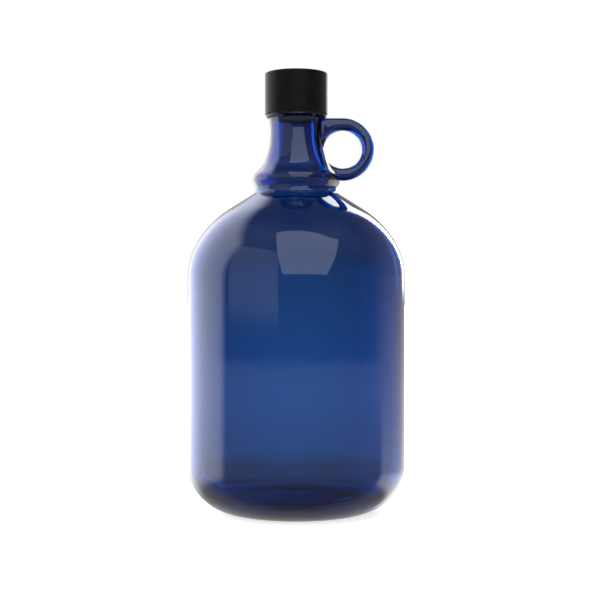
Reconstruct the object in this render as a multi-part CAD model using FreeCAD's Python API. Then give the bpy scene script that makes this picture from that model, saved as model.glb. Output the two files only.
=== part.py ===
"""A half-gallon blue glass jug with a finger ring at its neck and a black screw cap.

Millimetres, +Z up. The origin is on the jug's axis, in the plane that it stands on, and
the finger ring points along +X. Each physical piece goes to parts/NAME.step.
"""
import math
import os

import FreeCAD
import Part

# ---- driving dimensions: the jug ----------------------------------------------------
BODY_RADIUS = 65.0  # outside of the straight barrel
WALL = 3.3  # glass thickness of the barrel and the shoulder
LAND_RADIUS = 31.0  # inner edge of the flat ring that the jug stands on
PUSH_UP = 9.0  # how far the middle of the base is domed upwards
BASE_THICKNESS = 5.0  # glass in the middle of the base

BAND_RADIUS = 24.63  # plain band at the top of the shoulder
COLLAR_RADIUS = 26.25  # rounded collar at the foot of the neck
NECK_RADIUS = 15.73  # thinnest place of the neck
FLANGE_RADIUS = 18.4  # thin flange just below the cap
FLANGE_TOP = 238.1
FINISH_RADIUS = 15.55  # the wall that carries the thread
BORE_RADIUS = 11.4
LIP_TOP = 260.0  # the face that the cap's liner seals on

# ---- the finger ring ----------------------------------------------------------------
RING_X = 27.9  # centre of its hole
RING_Z = 217.8
RING_HOLE = 11.5  # radius of the hole
RING_OUTSIDE = 18.7  # radius of the ring's outside
RING_WIDTH = 9.0  # across, along Y
RING_ROUNDING = 2.9

# ---- the cap and its liner ----------------------------------------------------------
CAP_RADIUS = 18.85
CAP_HEIGHT = 25.3
CAP_TOP = 263.7
SKIRT_RADIUS = 17.35  # inside of the cap's skirt
RIB_RADIUS = 16.75  # a small rib that keeps the liner in the cap
LINER_RADIUS = 17.1
FACING = 0.2  # film that touches the glass
BACKING = 1.4  # springy wad behind it

# ---- the screw thread, right-handed, one start --------------------------------------
PITCH = 4.233
GLASS_CREST = 16.8
CAP_CREST = 16.05
CREST_WIDTH = 1.0
CREST_ROUNDING = 0.25
FLANK = 0.48  # each flank widens the ridge by this much per millimetre of depth
FLANK_GAP = 0.15  # along the axis, between the flanks that pull the cap down
ROOT_DEPTH = 0.5  # how deep a ridge is set into its wall, so that the two fuse
THREAD_TURNS = 1.5  # of each ridge, so the cap comes free after as many
THREAD_FOOT = 250.6  # height of the glass ridge's lower end

AXIS = FreeCAD.Vector(0, 0, 1)
ORIGIN = FreeCAD.Vector(0, 0, 0)


# ---- outlines with rounded corners --------------------------------------------------
def in_plane(radius, height):
    return FreeCAD.Vector(radius, 0, height)


def rounded_wire(corners):
    """A closed wire in the XZ plane through (x, z, rounding) corners.

    Each corner is turned on an arc of its own rounding, tangent to both of its sides.
    """
    edges = []
    arcs = []
    for index, (x, z, rounding) in enumerate(corners):
        here = in_plane(x, z)
        before = in_plane(*corners[index - 1][:2])
        after = in_plane(*corners[(index + 1) % len(corners)][:2])
        come = (here - before).normalize()
        go = (after - here).normalize()
        half_turn = come.getAngle(go) / 2
        reach = rounding * math.tan(half_turn)
        inward = (go - come).normalize() if rounding else go
        middle = here + inward * rounding * (1 / math.cos(half_turn) - 1)
        arcs.append((here - come * reach, middle, here + go * reach))
    for index, (start, middle, end) in enumerate(arcs):
        following = arcs[(index + 1) % len(arcs)][0]
        side = in_plane(*corners[(index + 1) % len(corners)][:2]) - in_plane(*corners[index][:2])
        if (following - end).dot(side) < 0:
            raise ValueError(f"the side after corner {corners[index]} is too short for its rounding")
        if (end - start).Length > 1e-6:
            edges.append(Part.Arc(start, middle, end).toShape())
        if (following - end).Length > 1e-6:
            edges.append(Part.LineSegment(end, following).toShape())
    return Part.Wire(edges)


def facing_out(solid):
    if solid.Volume < 0:
        solid.reverse()
    return solid


def turned(corners):
    """The solid that the rounded outline makes when it is turned about the axis."""
    return facing_out(Part.Face(rounded_wire(corners)).revolve(ORIGIN, AXIS, 360))


def offset_inwards(corners, distance):
    """The inner corners of the chain, each moved so that its sides move by the distance.

    The chain runs upwards with the glass on its left. Its first and last corners only
    give directions and are left out.
    """
    result = []
    for before, here, after in zip(corners, corners[1:], corners[2:]):
        come = (in_plane(*here[:2]) - in_plane(*before[:2])).normalize()
        go = (in_plane(*after[:2]) - in_plane(*here[:2])).normalize()
        mitre = FreeCAD.Vector(come.z + go.z, 0, -come.x - go.x) / (1 + come.dot(go))
        result.append((here[0] - mitre.x * distance, here[1] - mitre.z * distance, here[2] - distance))
    return result


# ---- the glass jug ------------------------------------------------------------------
HEEL = (46.6, 0.0, 33.5)  # the wide, low part of the heel
HEEL_UPPER = (BODY_RADIUS, 17.0, 27.0)
SHOULDER = (BODY_RADIUS, 152.0, 42.0)
SHOULDER_UPPER = (52.3, 174.0, 57.5)
SHOULDER_TOP = (BAND_RADIUS, 191.6, 2.0)


def jug_outside():
    """Corners of the outside, from the middle of the base up to the flange."""
    return [
        (0.0, PUSH_UP, 0.0),
        (9.0, PUSH_UP, 25.0),
        (LAND_RADIUS, 0.0, 1.5),
        HEEL,
        HEEL_UPPER,
        SHOULDER,
        SHOULDER_UPPER,
        SHOULDER_TOP,
        (BAND_RADIUS, 195.0, 1.2),
        (COLLAR_RADIUS, 198.4, 2.2),
        (COLLAR_RADIUS, 201.6, 4.2),
        (19.94, 207.91, 19.0),
        (NECK_RADIUS, 219.5, 46.0),
        (NECK_RADIUS, 231.5, 45.0),
        (16.27, 236.1, 0.4),
        (FLANGE_RADIUS, 237.4, 0.5),
        (FLANGE_RADIUS, FLANGE_TOP, 0.25),
    ]


def jug_mouth():
    """Corners of the wall that carries the thread, and of the lip, down into the bore."""
    return [
        (FINISH_RADIUS, FLANGE_TOP, 0.6),
        (FINISH_RADIUS, LIP_TOP, 1.4),
        (BORE_RADIUS, LIP_TOP, 1.2),
    ]


def jug_inside():
    """Corners of the inside, from the bore down to the middle of the floor."""
    shoulder = offset_inwards([HEEL_UPPER, SHOULDER, SHOULDER_UPPER, SHOULDER_TOP], WALL)
    return [
        (BORE_RADIUS, 219.7, 45.0),
        (16.5, 205.7, 16.0),
        (21.3, 200.9, 5.0),
        (21.3, 189.8, 6.0),
        *reversed(shoulder),
        (BODY_RADIUS - WALL, 19.5, 21.0),
        (44.0, 5.0, 12.0),
        (11.0, PUSH_UP + BASE_THICKNESS, 30.0),
        (0.0, PUSH_UP + BASE_THICKNESS, 0.0),
    ]


def glass_jug():
    ridge = thread_ridge(FINISH_RADIUS, GLASS_CREST, THREAD_FOOT)
    return turned(jug_outside() + jug_mouth() + jug_inside()).fuse(ridge)


# ---- threads ------------------------------------------------------------------------
def thread_ridge(wall, crest, foot):
    """The pieces of a helical ridge on a wall: its run, and a round button at each end.

    foot is the height of its lower end, which lies in the +X half of the XZ plane.
    """
    depth = abs(crest - wall)
    root = wall - math.copysign(ROOT_DEPTH, crest - wall)
    crest_half = CREST_WIDTH / 2
    root_half = crest_half + FLANK * (depth + ROOT_DEPTH)
    root_top = (root, foot + root_half, 0.0)
    crest_top = (crest, foot + crest_half, CREST_ROUNDING)
    crest_foot = (crest, foot - crest_half, CREST_ROUNDING)
    root_foot = (root, foot - root_half, 0.0)

    helix = Part.makeHelix(PITCH, PITCH * THREAD_TURNS, wall)
    helix.translate(AXIS * foot)
    section = rounded_wire([root_foot, crest_foot, crest_top, root_top])
    run = facing_out(Part.Wire(helix.Edges).makePipeShell([section], True, True))

    upper_half = rounded_wire([(root, foot, 0.0), (crest, foot, 0.0), crest_top, root_top])
    button = facing_out(
        Part.Face(upper_half).revolve(in_plane(0, foot), FreeCAD.Vector(1, 0, 0), 360)
    )
    upper_button = button.copy()
    upper_button.translate(AXIS * PITCH * THREAD_TURNS)
    upper_button.rotate(ORIGIN, AXIS, 360 * THREAD_TURNS)
    return [run, button, upper_button]


# ---- the finger ring ----------------------------------------------------------------
def finger_ring():
    """A rounded loop of glass with a filled upper corner, seated on the neck."""
    top = in_plane(RING_X, RING_Z + RING_OUTSIDE)
    outermost = in_plane(RING_X + RING_OUTSIDE, RING_Z)
    lower_turn = math.radians(-125)
    lower = in_plane(
        RING_X + RING_OUTSIDE * math.cos(lower_turn), RING_Z + RING_OUTSIDE * math.sin(lower_turn)
    )
    buried = BORE_RADIUS - 3.0
    outline = Part.Wire(
        [
            Part.Arc(top, outermost, lower).toShape(),
            Part.LineSegment(lower, in_plane(buried, lower.z)).toShape(),
            Part.LineSegment(in_plane(buried, lower.z), in_plane(buried, top.z)).toShape(),
            Part.LineSegment(in_plane(buried, top.z), top).toShape(),
        ]
    )
    across = FreeCAD.Vector(0, RING_WIDTH, 0)
    plate = Part.Face(outline).extrude(across)
    hole = Part.makeCylinder(RING_HOLE, RING_WIDTH, in_plane(RING_X, RING_Z), FreeCAD.Vector(0, 1, 0))
    plate = plate.cut(hole)
    plate.translate(-across / 2)
    rims = [edge for edge in plate.Edges if abs(abs(edge.CenterOfMass.y) - RING_WIDTH / 2) < 1e-6]
    ring = plate.makeFillet(RING_ROUNDING, rims)
    neck = turned(jug_outside() + [(0.0, FLANGE_TOP, 0.0)])
    return ring.cut(neck)


# ---- the cap and its liner ----------------------------------------------------------
CEILING = LIP_TOP + FACING + BACKING
CAP_BOTTOM = CAP_TOP - CAP_HEIGHT


def screw_cap():
    rib_height = LIP_TOP - 0.5
    shell = turned(
        [
            (0.0, CEILING, 0.0),
            (SKIRT_RADIUS, CEILING, 0.3),
            (SKIRT_RADIUS, rib_height + 0.4, 0.0),
            (RIB_RADIUS, rib_height, 0.3),
            (SKIRT_RADIUS, rib_height - 0.8, 0.0),
            (SKIRT_RADIUS, CAP_BOTTOM, 0.3),
            (CAP_RADIUS, CAP_BOTTOM, 0.5),
            (CAP_RADIUS, CAP_TOP, 1.0),
            (0.0, CAP_TOP, 0.0),
        ]
    )
    # the cap's ridge hangs just under the glass one, so that turning it pulls the cap down
    drop = CREST_WIDTH + FLANK * (GLASS_CREST - CAP_CREST) + FLANK_GAP
    return shell.fuse(thread_ridge(SKIRT_RADIUS, CAP_CREST, THREAD_FOOT - drop))


def disc(bottom, thickness):
    return Part.makeCylinder(LINER_RADIUS, thickness, AXIS * bottom)


def main():
    pieces = {
        "glass_jug": glass_jug(),
        "finger_ring": finger_ring(),
        "screw_cap": screw_cap(),
        "liner_facing": disc(LIP_TOP, FACING),
        "liner_backing": disc(LIP_TOP + FACING, BACKING),
    }
    os.makedirs("parts", exist_ok=True)
    for name, shape in pieces.items():
        solid = shape.Solids[0]
        box = solid.optimalBoundingBox(True, False)
        size = [round(value, 2) for value in (box.XLength, box.YLength, box.ZMin, box.ZMax)]
        print(name, len(shape.Solids), solid.isValid(), round(solid.Volume), "mm3", size)
        solid.exportStep(f"parts/{name}.step")
    brim = turned([*jug_inside(), (0.0, LIP_TOP, 0.0), (BORE_RADIUS, LIP_TOP, 0.0)])
    print("capacity to the brim, litres:", round(brim.Volume / 1e6, 3))


main()
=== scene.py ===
# %% [markdown]
# # A blue glass jug with a finger ring and a black screw cap
#
# The jug is blown in a mould: a straight barrel, a round shoulder, a collar, a slim neck with a
# screw finish, and a solid ring of glass for one finger. A black moulded cap closes it, with a
# white liner inside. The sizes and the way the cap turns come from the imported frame. This
# script only gives the frame its looks. It works in metres, with +Z up.

# %% Load the frame
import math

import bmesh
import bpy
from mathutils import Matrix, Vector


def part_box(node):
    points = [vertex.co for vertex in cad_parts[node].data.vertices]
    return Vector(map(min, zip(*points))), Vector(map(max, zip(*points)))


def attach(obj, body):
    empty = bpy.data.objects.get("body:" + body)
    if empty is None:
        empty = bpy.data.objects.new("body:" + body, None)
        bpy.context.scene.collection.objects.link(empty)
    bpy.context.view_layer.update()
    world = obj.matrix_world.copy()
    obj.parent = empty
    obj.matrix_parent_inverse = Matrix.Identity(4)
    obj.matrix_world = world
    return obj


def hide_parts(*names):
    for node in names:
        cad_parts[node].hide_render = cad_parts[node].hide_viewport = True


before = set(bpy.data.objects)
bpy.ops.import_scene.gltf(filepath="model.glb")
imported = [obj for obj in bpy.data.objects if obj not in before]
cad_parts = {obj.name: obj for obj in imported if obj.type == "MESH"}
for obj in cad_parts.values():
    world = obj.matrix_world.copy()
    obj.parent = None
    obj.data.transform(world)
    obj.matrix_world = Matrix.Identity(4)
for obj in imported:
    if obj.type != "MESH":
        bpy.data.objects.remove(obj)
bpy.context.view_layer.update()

# %% [markdown]
# ## Measures
#
# The main heights and widths are read from the frame's own boxes, so that the looks sit where
# the solids are. The smaller ones are written here, as the solids have them. `MM` turns
# millimetres into metres, because glass makers write their drawings in millimetres.

MM = 0.001
jug_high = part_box("glass_jug")[1]
ring_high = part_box("finger_ring")[1]
cap_low, cap_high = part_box("screw_cap")
lip_height = jug_high[2]
print("jug to the lip:", round(lip_height, 4), "m")
print("cap from", round(cap_low[2], 4), "to", round(cap_high[2], 4), "m")

# %% [markdown]
# ## A turning tool
#
# The jug and the cap are bodies of revolution. A real mould for them is turned on a lathe from
# a drawing of straight lines and rounded corners. The same drawing works here: each corner is
# a radius, a height and a rounding. Spinning a mesh in Python would do, but a Geometry Nodes
# tree says the rule itself: round the corners, sweep the outline round a circle, close it.

# %% Small helpers for building node trees
def link(tree, source, target):
    tree.links.new(source, target)


def add_node(tree, kind, inputs=None, **settings):
    node = tree.nodes.new(kind)
    for name, value in settings.items():
        setattr(node, name, value)
    for name, value in (inputs or {}).items():
        socket = node.inputs[name]
        if isinstance(value, bpy.types.NodeSocket):
            link(tree, value, socket)
        else:
            socket.default_value = value
    return node


def new_geometry_tree(name, sockets):
    """A tree with one geometry in, one geometry out, and the named inputs."""
    tree = bpy.data.node_groups.new(name, "GeometryNodeTree")
    tree.is_modifier = True
    tree.interface.new_socket("Geometry", in_out="INPUT", socket_type="NodeSocketGeometry")
    for label, kind in sockets:
        tree.interface.new_socket(label, in_out="INPUT", socket_type=kind)
    tree.interface.new_socket("Geometry", in_out="OUTPUT", socket_type="NodeSocketGeometry")
    return tree, tree.nodes.new("NodeGroupInput").outputs


def finish_tree(tree, geometry, material):
    """Smooth the faces, make instances real, give the material and send the result out."""
    smooth = add_node(tree, "GeometryNodeSetShadeSmooth", {"Geometry": geometry})
    real = add_node(tree, "GeometryNodeRealizeInstances", {"Geometry": smooth.outputs[0]})
    painted = add_node(
        tree, "GeometryNodeSetMaterial", {"Geometry": real.outputs[0], "Material": material}
    )
    link(tree, painted.outputs[0], tree.nodes.new("NodeGroupOutput").inputs[0])


def bake_tree(mesh, tree, values):
    """Run the tree on a mesh and return the plain mesh that it makes."""
    carrier = bpy.data.objects.new("carrier", mesh)
    bpy.context.scene.collection.objects.link(carrier)
    modifier = carrier.modifiers.new(tree.name, "NODES")
    modifier.node_group = tree
    for item in tree.interface.items_tree:
        if item.in_out == "INPUT" and item.name in values:
            modifier[item.identifier] = values[item.name]
    seen = carrier.evaluated_get(bpy.context.evaluated_depsgraph_get())
    result = bpy.data.meshes.new_from_object(seen)
    bpy.data.objects.remove(carrier)
    return result


# %% The turning tree
def make_turning_tree():
    tree, given = new_geometry_tree(
        "turning",
        [
            ("Segments", "NodeSocketInt"),
            ("Path Radius", "NodeSocketFloat"),
            ("Material", "NodeSocketMaterial"),
        ],
    )
    outline = add_node(tree, "GeometryNodeMeshToCurve", {"Mesh": given["Geometry"]})
    rounding = add_node(tree, "GeometryNodeInputNamedAttribute", {"Name": "rounding"})
    steps = add_node(
        tree, "GeometryNodeInputNamedAttribute", {"Name": "steps"}, data_type="INT"
    )
    rounded = add_node(
        tree,
        "GeometryNodeFilletCurve",
        {"Curve": outline.outputs[0], "Radius": rounding.outputs[0], "Count": steps.outputs[0]},
        mode="POLY",
    )
    path = add_node(
        tree,
        "GeometryNodeCurvePrimitiveCircle",
        {"Resolution": given["Segments"], "Radius": given["Path Radius"]},
    )
    swept = add_node(
        tree,
        "GeometryNodeCurveToMesh",
        {"Curve": path.outputs[0], "Profile Curve": rounded.outputs[0]},
    )
    closed = add_node(
        tree, "GeometryNodeMergeByDistance", {"Geometry": swept.outputs[0], "Distance": 1e-6}
    )
    finish_tree(tree, closed.outputs[0], given["Material"])
    return tree


turning_tree = make_turning_tree()
PATH_RADIUS = 20 * MM
SEGMENTS = 256


def outline_mesh(corners, degrees_per_step=4.0):
    """A chain of edges through (radius, height, rounding) corners, in millimetres.

    The sweep lays the outline's X across the path and its Y straight down.
    """
    mesh = bpy.data.meshes.new("outline")
    places = [(r * MM - PATH_RADIUS, -z * MM, 0.0) for r, z, _ in corners]
    mesh.from_pydata(places, [(i, i + 1) for i in range(len(places) - 1)], [])
    rounding = mesh.attributes.new("rounding", "FLOAT", "POINT")
    steps = mesh.attributes.new("steps", "INT", "POINT")
    for index, (_, _, radius) in enumerate(corners):
        rounding.data[index].value = radius * MM
        turn = 0.0
        if 0 < index < len(corners) - 1:
            come = Vector(places[index]) - Vector(places[index - 1])
            go = Vector(places[index + 1]) - Vector(places[index])
            turn = math.degrees(come.angle(go))
        steps.data[index].value = max(2, math.ceil(turn / degrees_per_step))
    return mesh


def point_faces_out(mesh):
    tool = bmesh.new()
    tool.from_mesh(mesh)
    bmesh.ops.recalc_face_normals(tool, faces=tool.faces[:])
    tool.to_mesh(mesh)
    tool.free()


def turn_solid(corners, material):
    mesh = bake_tree(
        outline_mesh(corners),
        turning_tree,
        {"Segments": SEGMENTS, "Path Radius": PATH_RADIUS, "Material": material},
    )
    point_faces_out(mesh)
    return mesh


# %% [markdown]
# ## The screw thread
#
# The mouth carries a ridge that climbs six turns to the inch, and the cap has its partner
# inside. On real glass the ridge swells out of the wall and dies away again at both ends. A
# helix curve with a small round-shouldered profile swept along it gives that, with the sweep's
# scale fading at the ends. The joint with the wall is made later, with a Boolean.

# %% The thread tree
PITCH = 4.233
THREAD_TURNS = 1.5


def make_thread_tree():
    tree, given = new_geometry_tree(
        "thread",
        [
            ("Turns", "NodeSocketFloat"),
            ("Pitch", "NodeSocketFloat"),
            ("Wall Radius", "NodeSocketFloat"),
            ("Foot", "NodeSocketFloat"),
            ("Fade", "NodeSocketFloat"),
            ("Material", "NodeSocketMaterial"),
        ],
    )
    rise = add_node(
        tree, "ShaderNodeMath", {0: given["Turns"], 1: given["Pitch"]}, operation="MULTIPLY"
    )
    helix = add_node(
        tree,
        "GeometryNodeCurveSpiral",
        {
            "Resolution": 96,
            "Rotations": given["Turns"],
            "Start Radius": given["Wall Radius"],
            "End Radius": given["Wall Radius"],
            "Height": rise.outputs[0],
            "Reverse": True,
        },
    )
    foot = add_node(tree, "ShaderNodeCombineXYZ", {"Z": given["Foot"]})
    placed = add_node(
        tree,
        "GeometryNodeTransform",
        {"Geometry": helix.outputs[0], "Translation": foot.outputs[0]},
    )
    upright = add_node(
        tree, "GeometryNodeSetCurveNormal", {"Curve": placed.outputs[0]}, mode="Z_UP"
    )
    along = add_node(tree, "GeometryNodeSplineParameter")
    from_end = add_node(
        tree, "ShaderNodeMath", {0: 1.0, 1: along.outputs["Factor"]}, operation="SUBTRACT"
    )
    nearest = add_node(
        tree,
        "ShaderNodeMath",
        {0: along.outputs["Factor"], 1: from_end.outputs[0]},
        operation="MINIMUM",
    )
    swell = add_node(
        tree,
        "ShaderNodeMapRange",
        {"Value": nearest.outputs[0], "From Max": given["Fade"], "To Min": 0.3},
        interpolation_type="SMOOTHSTEP",
    )
    section = add_node(tree, "GeometryNodeMeshToCurve", {"Mesh": given["Geometry"]})
    ridge = add_node(
        tree,
        "GeometryNodeCurveToMesh",
        {
            "Curve": upright.outputs[0],
            "Profile Curve": section.outputs[0],
            "Scale": swell.outputs[0],
            "Fill Caps": True,
        },
    )
    finish_tree(tree, ridge.outputs[0], given["Material"])
    return tree


thread_tree = make_thread_tree()
print("threads climb", round(PITCH * THREAD_TURNS, 3), "mm in", THREAD_TURNS, "turns")


def sweep_thread(wall, depth, foot, material):
    """A ridge on a wall of that radius. A negative depth makes an inside thread."""
    root = -math.copysign(0.5, depth)
    flat, flank = 0.5, 0.48 * (abs(depth) + 0.5)
    section = [
        (root, -flat - flank),
        (0.8 * depth, -flat - 0.1 * flank),
        (depth, -0.6 * flat),
        (depth, 0.6 * flat),
        (0.8 * depth, flat + 0.1 * flank),
        (root, flat + flank),
    ]
    mesh = bpy.data.meshes.new("thread_section")
    places = [(-across * MM, up * MM, 0.0) for across, up in section]
    mesh.from_pydata(places, [(i, (i + 1) % len(places)) for i in range(len(places))], [])
    values = {
        "Turns": THREAD_TURNS,
        "Pitch": PITCH * MM,
        "Wall Radius": wall * MM,
        "Foot": foot * MM,
        "Fade": 0.06,
        "Material": material,
    }
    ridge = bake_tree(mesh, thread_tree, values)
    point_faces_out(ridge)
    return ridge


# %% [markdown]
# ## The joining tree
#
# The ring is pressed onto the neck while both are soft, so there is one skin of glass and a
# crisp line where they meet. Two closed meshes that merely touch would show a false surface
# inside the glass. A Boolean union makes the one skin, and a Boolean difference then takes the
# cavity out, as the blowing does.

# %% Join the outside pieces, then take the cavity out
def make_joining_tree():
    tree, given = new_geometry_tree(
        "joining",
        [
            ("Added", "NodeSocketObject"),
            ("Second Added", "NodeSocketObject"),
            ("Taken Out", "NodeSocketObject"),
            ("Material", "NodeSocketMaterial"),
        ],
    )
    parts = [
        add_node(tree, "GeometryNodeObjectInfo", {"Object": given[label]}).outputs["Geometry"]
        for label in ("Added", "Second Added", "Taken Out")
    ]
    union = add_node(tree, "GeometryNodeMeshBoolean", operation="UNION", solver="MANIFOLD")
    for part in (given["Geometry"], parts[0], parts[1]):
        link(tree, part, union.inputs["Mesh 2"])
    difference = add_node(
        tree,
        "GeometryNodeMeshBoolean",
        {"Mesh 1": union.outputs[0], "Mesh 2": parts[2]},
        operation="DIFFERENCE",
        solver="MANIFOLD",
    )
    finish_tree(tree, difference.outputs[0], given["Material"])
    return tree


joining_tree = make_joining_tree()


def join_solids(base, added, second_added, taken_out, material):
    """base with two solids added and one taken out; an empty mesh adds or takes nothing."""
    carriers = []
    values = {"Material": material}
    for label, mesh in (("Added", added), ("Second Added", second_added), ("Taken Out", taken_out)):
        carrier = bpy.data.objects.new(label, mesh or bpy.data.meshes.new("nothing"))
        bpy.context.scene.collection.objects.link(carrier)
        carriers.append(carrier)
        values[label] = carrier
    result = bake_tree(base, joining_tree, values)
    for carrier in carriers:
        bpy.data.objects.remove(carrier)
    return result


def new_piece(name, mesh, crease_degrees=38):
    """A finished piece at the origin, with crisp lines only where two surfaces meet sharply."""
    mesh.set_sharp_from_angle(angle=math.radians(crease_degrees))
    piece = bpy.data.objects.new(name, mesh)
    bpy.context.scene.collection.objects.link(piece)
    tool = bmesh.new()
    tool.from_mesh(mesh)
    open_edges = sum(1 for edge in tool.edges if not edge.is_manifold)
    mesh.calc_loop_triangles()
    print(name, "-", len(mesh.loop_triangles), "triangles,", open_edges, "open edges")
    print(name, "-", round(tool.calc_volume() * 1e6, 1), "cm3 of material")
    tool.free()
    return piece


# %% [markdown]
# ## The jug's drawing
#
# From the middle of the base outwards and up: the pushed-up base, the narrow ring that the jug
# stands on, the two-part heel, the barrel, the two-part shoulder, the collar with its bead,
# the hollow flare of the neck, the small flange under the cap, and the mouth. The barrel's
# radius, the lip's height and the flange's top come from the frame. The other measures are the
# drawing's own.

# %% Corners of the outside and of the cavity, in millimetres
BARREL = jug_high[0] / MM
LIP = lip_height / MM
WALL = 3.3
BAND, COLLAR, NECK, FLANGE, FINISH, BORE = 24.63, 26.25, 15.73, 18.4, 15.55, 11.4
FLANGE_TOP = cap_low[2] / MM - 0.3

outside_corners = [
    (0.0, 9.0, 0.0),
    (9.0, 9.0, 25.0),
    (31.0, 0.0, 1.5),
    (46.6, 0.0, 33.5),
    (BARREL, 17.0, 27.0),
    (BARREL, 152.0, 42.0),
    (BARREL - 12.7, 174.0, 57.5),
    (BAND, 191.6, 2.0),
    (BAND, 195.0, 1.2),
    (COLLAR, 198.4, 2.2),
    (COLLAR, 201.6, 4.2),
    (19.94, 207.91, 19.0),
    (NECK, 219.5, 46.0),
    (NECK, 231.5, 45.0),
    (16.27, 236.1, 0.4),
    (FLANGE, 237.4, 0.5),
    (FLANGE, FLANGE_TOP, 0.25),
    (FINISH, FLANGE_TOP, 0.6),
    (FINISH, LIP, 1.4),
    (BORE - 2.0, LIP, 0.0),
    (0.0, LIP, 0.0),
]
# the cavity runs past the lip, and its edge there is flared by the lip's inner rounding
LIP_ROUNDING = 1.2
cavity_corners = [
    (0.0, 14.0, 0.0),
    (11.0, 14.0, 30.0),
    (44.0, 5.0, 12.0),
    (BARREL - WALL, 19.5, 21.0),
    (BARREL - WALL, 151.13, 38.7),
    (49.86, 171.65, 54.2),
    (21.3, 189.8, 6.0),
    (21.3, 200.9, 5.0),
    (16.5, 205.7, 16.0),
    (BORE, 219.7, 45.0),
    (BORE, LIP - LIP_ROUNDING, 0.0),
    *[
        (
            BORE + LIP_ROUNDING * (1 - math.cos(math.radians(turn))),
            LIP - LIP_ROUNDING * (1 - math.sin(math.radians(turn))),
            0.0,
        )
        for turn in (15, 30, 45, 60, 75, 88)
    ],
    (BORE + LIP_ROUNDING, LIP + 2.0, 0.0),
    (0.0, LIP + 2.0, 0.0),
]

# %% [markdown]
# ## The finger ring
#
# It is a loop of round-edged glass, flat on top where it runs straight back into the neck. An
# extruded and bevelled plate would give it hard flats. Here each section of the loop is its own
# rounded rectangle between the hole and the outside, so the loop stays soft all the way round,
# and it runs on into the neck, where the Boolean trims it.

# %% Build the ring section by section
HOLE_X, HOLE_Z = 27.9, 217.8
HOLE = 11.5
RING_OUTSIDE = ring_high[2] / MM - HOLE_Z
RING_HALF_WIDTH = ring_high[1] / MM
RING_ROUNDING = 2.9
RING_BURIED = 14.4  # how far left of the hole's middle the loop runs into the neck's wall


def ring_reach(turn):
    """Distance from the hole's middle to the loop's outside, in that direction."""
    across, up = math.cos(turn), math.sin(turn)
    reach = RING_OUTSIDE
    if across < 0 < up:
        reach = RING_OUTSIDE / up
    if across < 0:
        reach = min(reach, RING_BURIED / -across)
    return reach


def rounded_section(half_high, half_wide, rounding, steps=7):
    """Points round a rectangle with rounded corners, about its own middle."""
    places = []
    for corner, (side, level) in enumerate(((1, 1), (-1, 1), (-1, -1), (1, -1))):
        for step in range(steps):
            turn = math.radians(90 * (corner + step / (steps - 1)))
            places.append(
                (
                    side * (half_high - rounding) + rounding * math.cos(turn),
                    level * (half_wide - rounding) + rounding * math.sin(turn),
                )
            )
    return places


def build_ring(sections=144):
    tool = bmesh.new()
    loops = []
    for index in range(sections):
        turn = 2 * math.pi * index / sections
        reach = ring_reach(turn)
        half_high = (reach - HOLE) / 2
        middle = HOLE + half_high
        rounding = min(RING_ROUNDING, half_high - 0.1)
        loop = []
        for high, wide in rounded_section(half_high, RING_HALF_WIDTH, rounding):
            x = HOLE_X + (middle + high) * math.cos(turn)
            z = HOLE_Z + (middle + high) * math.sin(turn)
            loop.append(tool.verts.new((x * MM, wide * MM, z * MM)))
        loops.append(loop)
    count = len(loops[0])
    for index, loop in enumerate(loops):
        following = loops[(index + 1) % sections]
        for step in range(count):
            after = (step + 1) % count
            tool.faces.new((loop[step], loop[after], following[after], following[step]))
    bmesh.ops.recalc_face_normals(tool, faces=tool.faces[:])
    mesh = bpy.data.meshes.new("ring")
    tool.to_mesh(mesh)
    tool.free()
    return mesh


# %% [markdown]
# ## Finishes
#
# Nothing on a real jug is perfectly even: the glass has a slow ripple from the mould, and the
# moulded cap a very fine grain. Both are the same effect at different sizes, so one shader
# group makes them: a soft unevenness for bumps, and patches for the roughness.

# %% The unevenness group
def make_unevenness_group():
    group = bpy.data.node_groups.new("surface_unevenness", "ShaderNodeTree")
    for label, value in (
        ("Ripple Scale", 20.0),
        ("Grain Scale", 400.0),
        ("Grain Share", 0.3),
        ("Roughness Low", 0.0),
        ("Roughness High", 0.1),
    ):
        socket = group.interface.new_socket(label, in_out="INPUT", socket_type="NodeSocketFloat")
        socket.default_value = value
    for label in ("Height", "Roughness"):
        group.interface.new_socket(label, in_out="OUTPUT", socket_type="NodeSocketFloat")
    given = group.nodes.new("NodeGroupInput").outputs
    place = add_node(group, "ShaderNodeTexCoord").outputs["Object"]
    ripple = add_node(
        group, "ShaderNodeTexNoise", {"Vector": place, "Scale": given["Ripple Scale"], "Detail": 2.0}
    )
    grain = add_node(
        group, "ShaderNodeTexNoise", {"Vector": place, "Scale": given["Grain Scale"], "Detail": 3.0}
    )
    height = add_node(
        group,
        "ShaderNodeMix",
        {"Factor": given["Grain Share"], "A": ripple.outputs["Fac"], "B": grain.outputs["Fac"]},
    )
    rough = add_node(
        group,
        "ShaderNodeMapRange",
        {
            "Value": ripple.outputs["Fac"],
            "From Min": 0.35,
            "From Max": 0.65,
            "To Min": given["Roughness Low"],
            "To Max": given["Roughness High"],
        },
    )
    out = group.nodes.new("NodeGroupOutput")
    link(group, height.outputs["Result"], out.inputs["Height"])
    link(group, rough.outputs["Result"], out.inputs["Roughness"])
    return group


unevenness = make_unevenness_group()


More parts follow.
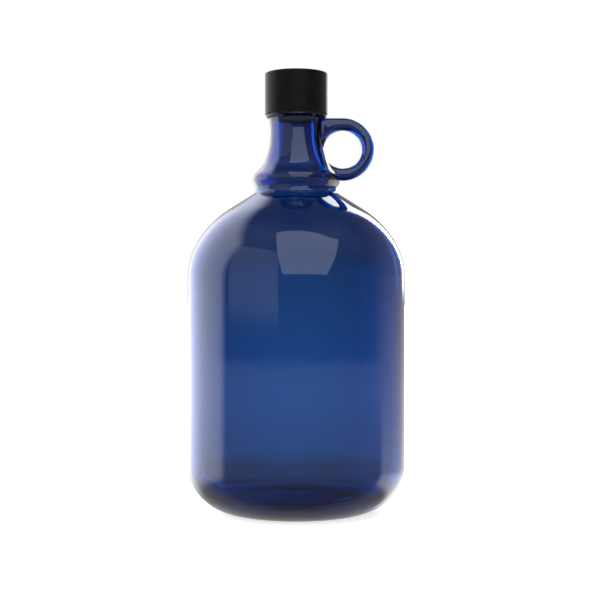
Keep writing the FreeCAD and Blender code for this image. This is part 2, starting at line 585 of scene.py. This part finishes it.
def new_finish(name, uneven, bump_strength, bump_distance, **sockets):
    """A Principled material with the unevenness group on its roughness and its bump."""
    material = bpy.data.materials.new(name)
    material.use_nodes = True
    tree = material.node_tree
    shader = tree.nodes["Principled BSDF"]
    for label, value in sockets.items():
        shader.inputs[label.replace("_", " ")].default_value = value
    group = add_node(tree, "ShaderNodeGroup", node_tree=unevenness)
    for label, value in uneven.items():
        group.inputs[label].default_value = value
    bump = add_node(
        tree,
        "ShaderNodeBump",
        {"Strength": bump_strength, "Distance": bump_distance, "Height": group.outputs["Height"]},
    )
    link(tree, bump.outputs["Normal"], shader.inputs["Normal"])
    link(tree, group.outputs["Roughness"], shader.inputs["Roughness"])
    return material, tree, shader


# %% [markdown]
# ### Blue glass
#
# Coloured glass is clear at its surface and takes colour away with depth: thin walls look pale
# and thick ones, such as the collar and the ring, deep blue. So the surface is white, clear
# and smooth, and a volume absorption carries the colour. Painting the surface blue would make
# every thickness look the same.

# %% Make the glass
# each colour fades with depth at a rate of (1 - its value) times the density, per metre
GLASS_COLOUR = (0.0875, 0.495, 0.766, 1.0)
GLASS_DENSITY = 800.0


def make_blue_glass():
    material, tree, shader = new_finish(
        "blue_glass",
        {"Ripple Scale": 28.0, "Grain Scale": 90.0, "Grain Share": 0.15,
         "Roughness Low": 0.0, "Roughness High": 0.012},
        0.05,
        0.002,
        IOR=1.5,
    )
    shader.inputs["Base Color"].default_value = (1.0, 1.0, 1.0, 1.0)
    shader.inputs["Transmission Weight"].default_value = 1.0
    absorption = add_node(tree, "ShaderNodeVolumeAbsorption")
    absorption.inputs["Color"].default_value = GLASS_COLOUR
    absorption.inputs["Density"].default_value = GLASS_DENSITY
    link(tree, absorption.outputs[0], tree.nodes["Material Output"].inputs["Volume"])
    return material


blue_glass = make_blue_glass()

# %% [markdown]
# ### Black cap plastic and the white liner
#
# A cap like this is usually moulded in black polypropylene with a fine satin grain, and
# handling leaves it faintly cloudy. So its black is two nearly equal blacks mixed by a fine
# noise, its shine is weak, and a thin sheen lifts its sides. A stronger shine would turn the
# whole cap grey. The liner is white and plain, a smoother film on a rougher wad.

# %% Make the plastics
def make_cap_plastic():
    material, tree, shader = new_finish(
        "black_cap_plastic",
        {"Ripple Scale": 60.0, "Grain Scale": 2600.0, "Grain Share": 0.93,
         "Roughness Low": 0.3, "Roughness High": 0.36},
        0.1,
        0.0001,
        IOR=1.49,
        Specular_IOR_Level=0.07,
        Sheen_Weight=0.06,
        Sheen_Roughness=0.4,
    )
    place = add_node(tree, "ShaderNodeTexCoord").outputs["Object"]
    scuffs = add_node(
        tree, "ShaderNodeTexNoise", {"Vector": place, "Scale": 240.0, "Detail": 6.0, "Roughness": 0.7}
    )
    tint = add_node(
        tree,
        "ShaderNodeMix",
        {
            "Factor": scuffs.outputs["Fac"],
            "A": (0.0015, 0.0015, 0.0017, 1.0),
            "B": (0.003, 0.003, 0.0032, 1.0),
        },
        data_type="RGBA",
    )
    link(tree, tint.outputs["Result"], shader.inputs["Base Color"])
    return material


def make_liner_finish(name, pale, shade, roughness):
    material, tree, shader = new_finish(
        name,
        {"Ripple Scale": 90.0, "Grain Scale": 1500.0, "Grain Share": 0.6,
         "Roughness Low": roughness - 0.08, "Roughness High": roughness + 0.08},
        0.2,
        0.0002,
    )
    place = add_node(tree, "ShaderNodeTexCoord").outputs["Object"]
    mottle = add_node(tree, "ShaderNodeTexNoise", {"Vector": place, "Scale": 700.0, "Detail": 4.0})
    tint = add_node(
        tree, "ShaderNodeMix", {"Factor": mottle.outputs["Fac"], "A": pale, "B": shade}, data_type="RGBA"
    )
    link(tree, tint.outputs["Result"], shader.inputs["Base Color"])
    return material


cap_plastic = make_cap_plastic()
film_finish = make_liner_finish("liner_film", (0.86, 0.86, 0.85, 1.0), (0.78, 0.78, 0.77, 1.0), 0.3)
wad_finish = make_liner_finish("liner_wad", (0.80, 0.79, 0.75, 1.0), (0.68, 0.67, 0.63, 1.0), 0.75)
print("finishes:", ", ".join(material.name for material in bpy.data.materials))

# %% [markdown]
# ## Put the jug together
#
# The outside is turned, the ring and the thread are added, and the cavity is taken out.

# %% Make the jug
GLASS_THREAD_DEPTH, GLASS_THREAD_FOOT = 1.25, 250.6
ring_solid = build_ring()
glass_thread = sweep_thread(FINISH, GLASS_THREAD_DEPTH, GLASS_THREAD_FOOT, blue_glass)
jug_mesh = join_solids(
    turn_solid(outside_corners, blue_glass),
    ring_solid,
    glass_thread,
    turn_solid(cavity_corners, blue_glass),
    blue_glass,
)
jug = new_piece("jug_glass", jug_mesh)
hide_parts("glass_jug", "finger_ring")
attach(jug, "jug")

# %% [markdown]
# ## The cap
#
# One turned shell: a smooth skirt, a flat top with a small rounding, a rib inside that holds
# the liner, and the inside thread.

# %% Make the cap
CAP = cap_high[0] / MM
CAP_TOP, CAP_BOTTOM = cap_high[2] / MM, cap_low[2] / MM
SKIRT, RIB = 17.35, 16.75
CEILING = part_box("liner_backing")[1][2] / MM
CAP_THREAD_DEPTH, CAP_THREAD_FOOT = 1.3, 249.09
rib_height = LIP - 0.5
cap_corners = [
    (0.0, CEILING, 0.0),
    (SKIRT, CEILING, 0.3),
    (SKIRT, rib_height + 0.4, 0.0),
    (RIB, rib_height, 0.3),
    (SKIRT, rib_height - 0.8, 0.0),
    (SKIRT, CAP_BOTTOM, 0.3),
    (CAP, CAP_BOTTOM, 0.5),
    (CAP, CAP_TOP, 1.0),
    (0.0, CAP_TOP, 0.0),
]
cap_mesh = join_solids(
    turn_solid(cap_corners, cap_plastic),
    sweep_thread(SKIRT, -CAP_THREAD_DEPTH, CAP_THREAD_FOOT, cap_plastic),
    None,
    None,
    cap_plastic,
)
cap = new_piece("cap_shell", cap_mesh)
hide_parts("screw_cap")
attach(cap, "cap")

# %% Give the liner its finishes
for node, finish in (("liner_facing", film_finish), ("liner_backing", wad_finish)):
    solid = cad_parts[node]
    solid.data.materials.clear()
    solid.data.materials.append(finish)

# %% [markdown]
# ## The studio
#
# Glass shows its surroundings twice: through itself, and mirrored in its skin. In an evenly
# white room it would look flat. So this is a plain product set: a pale backdrop behind the jug,
# a dimmer room in front of it, and large soft panels that draw bright shapes in the skin. Area
# lamps could make the panels. Here they are painted by direction in the surround, so that one
# short table holds them all. The camera itself sees plain white.

# %% Soft panels and gradients
def math_node(tree, operation, first, second=0.0):
    return add_node(tree, "ShaderNodeMath", {0: first, 1: second}, operation=operation).outputs[0]


def along(tree, value, stops):
    """A value read off straight lines between (where, how much) stops."""
    low, high = stops[0][0], stops[-1][0]
    share = add_node(tree, "ShaderNodeMapRange", {"Value": value, "From Min": low, "From Max": high})
    ramp = add_node(tree, "ShaderNodeValToRGB", {"Fac": share.outputs["Result"]})
    elements = ramp.color_ramp.elements
    while len(elements) < len(stops):
        elements.new(1.0)
    for element, (where, amount) in zip(elements, stops):
        element.position = (where - low) / (high - low)
        element.color = (amount, amount, amount, 1.0)
    return ramp.outputs["Color"]


def make_panel_group():
    """The glow of a flat rectangular panel, seen from the jug, as a function of direction."""
    group = bpy.data.node_groups.new("soft_panel", "ShaderNodeTree")
    for label in ("Direction", "Facing", "Across", "Up"):
        group.interface.new_socket(label, in_out="INPUT", socket_type="NodeSocketVector")
    for label in ("Left", "Right", "Bottom", "Top", "Soft Edge", "Glow"):
        group.interface.new_socket(label, in_out="INPUT", socket_type="NodeSocketFloat")
    group.interface.new_socket("Glow", in_out="OUTPUT", socket_type="NodeSocketFloat")
    given = group.nodes.new("NodeGroupInput").outputs

    def part(label):
        dot = add_node(
            group,
            "ShaderNodeVectorMath",
            {0: given["Direction"], 1: given[label]},
            operation="DOT_PRODUCT",
        )
        return dot.outputs["Value"]

    ahead = math_node(group, "MAXIMUM", part("Facing"), 0.001)
    side = math_node(group, "DIVIDE", part("Across"), ahead)
    height = math_node(group, "DIVIDE", part("Up"), ahead)
    glow = given["Glow"]
    for low, high, value in (("Left", "Right", side), ("Bottom", "Top", height)):
        for inside in (
            math_node(group, "SUBTRACT", value, given[low]),
            math_node(group, "SUBTRACT", given[high], value),
        ):
            edge = add_node(
                group,
                "ShaderNodeMapRange",
                {"Value": inside, "From Max": given["Soft Edge"]},
                interpolation_type="SMOOTHSTEP",
            )
            glow = math_node(group, "MULTIPLY", glow, edge.outputs["Result"])
    link(group, glow, group.nodes.new("NodeGroupOutput").inputs["Glow"])
    return group


def add_panel(tree, group, direction, azimuth, elevation, sides, soft, glow):
    """A panel squarely facing the jug from there; its sides are in units of its distance."""
    turn, tilt = math.radians(azimuth), math.radians(elevation)
    ahead = Vector(
        (math.sin(turn) * math.cos(tilt), -math.cos(turn) * math.cos(tilt), math.sin(tilt))
    )
    across = Vector((math.cos(turn), math.sin(turn), 0.0))
    node = add_node(tree, "ShaderNodeGroup", node_tree=group)
    link(tree, direction, node.inputs["Direction"])
    left, right, bottom, top = sides
    values = {
        "Facing": ahead,
        "Across": across,
        "Up": across.cross(-ahead),
        "Left": left,
        "Right": right,
        "Bottom": bottom,
        "Top": top,
        "Soft Edge": soft,
        "Glow": glow,
    }
    for label, value in values.items():
        node.inputs[label].default_value = value
    return node.outputs["Glow"]


# %% [markdown]
# Azimuths run from the camera's side, negative to its left and positive to its right, so 180
# degrees is straight behind the jug. Elevations count up from table height. Every ray but the
# camera's own sees the same surround, whether it is mirrored or comes through the glass.

# %% Light the studio
# (elevation, glow) stops for the half behind the jug and for the half in front of it
BACKDROP = [(-90, 0.6), (-20, 0.6), (-10, 0.35), (-4, 0.9), (3, 0.4), (12, 0.4), (50, 0.15), (90, 0.1)]
ROOM = [(-90, 0.3), (-30, 0.35), (-9, 0.6), (-2.9, 0.6), (-2.3, 0.16), (25, 0.2), (60, 0.4), (90, 0.1)]
# azimuth, elevation, (left, right, bottom, top), soft edge, glow
PANELS = {
    "tall, in front": (0, 42.8, (-0.33, 0.80, -0.79, 0.60), 0.02, 1.6),
    "small, front left": (-53, 0, (-0.42, 0.71, -0.02, 0.92), 0.05, 0.55),
    "long, behind left": (-126, 10, (-1.0, 1.2, -0.8, 1.2), 0.45, 2.2),
    "low, behind right": (132, -12, (-0.7, 0.75, -0.4, 0.16), 0.2, 1.8),
    "strip, behind right": (165, 0, (-0.26, -0.02, 0.0, 1.25), 0.03, 5.0),
}


def make_surround():
    world = bpy.data.worlds.new("studio")
    bpy.context.scene.world = world
    world.use_nodes = True
    tree = world.node_tree
    background = tree.nodes["Background"]
    background.inputs["Color"].default_value = (1.0, 1.0, 1.0, 1.0)
    direction = add_node(tree, "ShaderNodeTexCoord").outputs["Generated"]
    parts = add_node(tree, "ShaderNodeSeparateXYZ", {"Vector": direction}).outputs
    elevation = math_node(tree, "DEGREES", math_node(tree, "ARCSINE", parts["Z"]))
    behind = add_node(
        tree,
        "ShaderNodeMapRange",
        {"Value": parts["Y"], "From Min": -0.2, "From Max": 0.4},
        interpolation_type="SMOOTHSTEP",
    )
    halves = {
        "Factor": behind.outputs["Result"],
        "A": along(tree, elevation, ROOM),
        "B": along(tree, elevation, BACKDROP),
    }
    glow = add_node(tree, "ShaderNodeMix", halves).outputs["Result"]
    panel_group = make_panel_group()
    for panel in PANELS.values():
        glow = math_node(tree, "ADD", glow, add_panel(tree, panel_group, direction, *panel))
    camera_ray = add_node(tree, "ShaderNodeLightPath").outputs["Is Camera Ray"]
    seen = add_node(tree, "ShaderNodeMix", {"Factor": camera_ray, "A": glow, "B": 1.0})
    link(tree, seen.outputs["Result"], background.inputs["Strength"])
    print("soft panels:", "; ".join(PANELS))


# %% [markdown]
# ## Floor, lamp and camera
#
# The floor is plain and pale, and one broad soft lamp overhead draws the faint shadow under the
# jug. Both are hidden from mirrored and refracted rays, so the glass shows only the surround.
# The camera stands level at about half the jug's height, square to the finger ring.

# %% Floor, lamp and camera
FLOOR_REACH = 30.0
FLOOR_WHITE = (0.9, 0.9, 0.9, 1.0)
FLOOR_GLOW = 0.75
LAMP_STRENGTH = 3.4
LAMP_SPREAD = 70
LAMP_TILT = (-12, 8)
LENS, SENSOR = 80, 36
CAMERA_PLACE = (0.0022, -0.802, 0.1274)


def hide_from_glass(thing):
    thing.visible_glossy = False
    thing.visible_transmission = False


def make_floor():
    mesh = bpy.data.meshes.new("studio_floor")
    corners = [(x * FLOOR_REACH, y * FLOOR_REACH, 0) for x, y in ((-1, -1), (1, -1), (1, 1), (-1, 1))]
    mesh.from_pydata(corners, [], [(0, 1, 2, 3)])
    floor = bpy.data.objects.new("studio_floor", mesh)
    bpy.context.scene.collection.objects.link(floor)
    material = bpy.data.materials.new("studio_floor")
    material.use_nodes = True
    shader = material.node_tree.nodes["Principled BSDF"]
    shader.inputs["Base Color"].default_value = FLOOR_WHITE
    shader.inputs["Roughness"].default_value = 0.9
    shader.inputs["Specular IOR Level"].default_value = 0.0
    shader.inputs["Emission Color"].default_value = (1.0, 1.0, 1.0, 1.0)
    shader.inputs["Emission Strength"].default_value = FLOOR_GLOW
    mesh.materials.append(material)
    hide_from_glass(floor)


def make_lamp():
    lamp = bpy.data.lights.new("overhead_softbox", "SUN")
    lamp.angle = math.radians(LAMP_SPREAD)
    lamp.energy = LAMP_STRENGTH
    holder = bpy.data.objects.new("overhead_softbox", lamp)
    holder.rotation_euler = (math.radians(LAMP_TILT[0]), math.radians(LAMP_TILT[1]), 0)
    hide_from_glass(holder)
    bpy.context.scene.collection.objects.link(holder)


def make_camera():
    data = bpy.data.cameras.new("studio_camera")
    data.lens = LENS
    data.sensor_width = SENSOR
    camera = bpy.data.objects.new("studio_camera", data)
    camera.location = CAMERA_PLACE
    camera.rotation_euler = (math.radians(90), 0, 0)
    bpy.context.scene.collection.objects.link(camera)
    bpy.context.scene.camera = camera
    print("camera", round(math.dist(camera.location, (0, 0, CAMERA_PLACE[2])), 3), "m from the axis")


make_surround()
make_floor()
make_lamp()
make_camera()
bpy.context.scene.view_settings.view_transform = "Standard"
